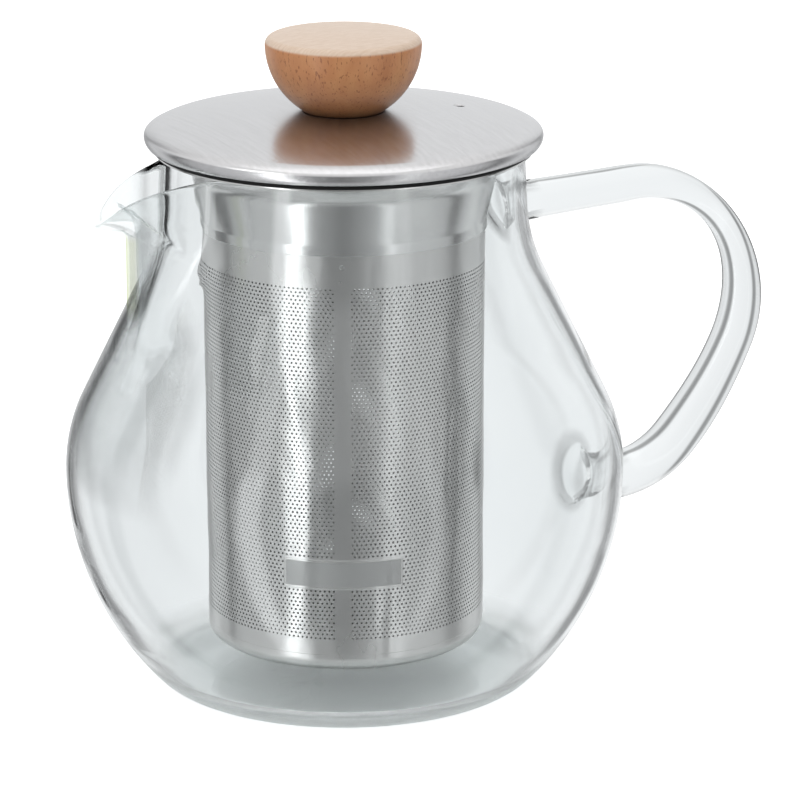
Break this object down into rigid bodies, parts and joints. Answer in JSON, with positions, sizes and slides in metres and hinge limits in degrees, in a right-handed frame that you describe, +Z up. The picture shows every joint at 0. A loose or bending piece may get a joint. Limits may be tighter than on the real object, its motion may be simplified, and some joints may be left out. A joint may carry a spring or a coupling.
{
  "type": "glass teapot",
  "caption": "Pear-shaped glass teapot with a pouring lip, glass rod handle, hanging steel strainer and steel lid with a turned wooden knob.",
  "frame": {"origin": "centre of the pot's flat base, on the pot's axis", "axes": "+Z up along the pot's axis, +X towards the handle, -X towards the pouring lip"},
  "size_m": [0.1454, 0.108, 0.1273],
  "materials": {
    "clear_glass": "clear, fire-polished",
    "polished_steel": "polished",
    "perforated_steel": "satin, finely perforated",
    "brushed_lid_steel": "hairline brushed",
    "black_silicone": "matte",
    "light_wood": "satin lacquer",
    "insert_brass": "turned",
    "screw_steel": "plain"
  },
  "bodies": {
    "pot": {"glass_body": "clear_glass", "glass_handle": "clear_glass"},
    "strainer": {"strainer_collar": "polished_steel", "strainer_wall": "perforated_steel", "strainer_bottom": "perforated_steel"},
    "lid_seal": {"lid_gasket": "black_silicone"},
    "lid": {"lid_plate": "brushed_lid_steel", "lid_skirt": "polished_steel", "knob": "light_wood", "knob_insert": "insert_brass", "knob_screw": "screw_steel", "screw_washer": "screw_steel"}
  },
  "joints": [
    {"name": "strainer_lift", "type": "slide", "parent": "pot", "child": "strainer", "axis": [0, 0, 1], "range_m": [0, 0.12]},
    {"name": "lid_lift", "type": "slide", "parent": "strainer", "child": "lid_seal", "axis": [0, 0, 1], "range_m": [0, 0.06]},
    {"name": "lid_turn", "type": "hinge", "parent": "lid_seal", "child": "lid", "pos_m": [0, 0, 0.1125], "axis": [0, 0, 1], "continuous": true}
  ]
}
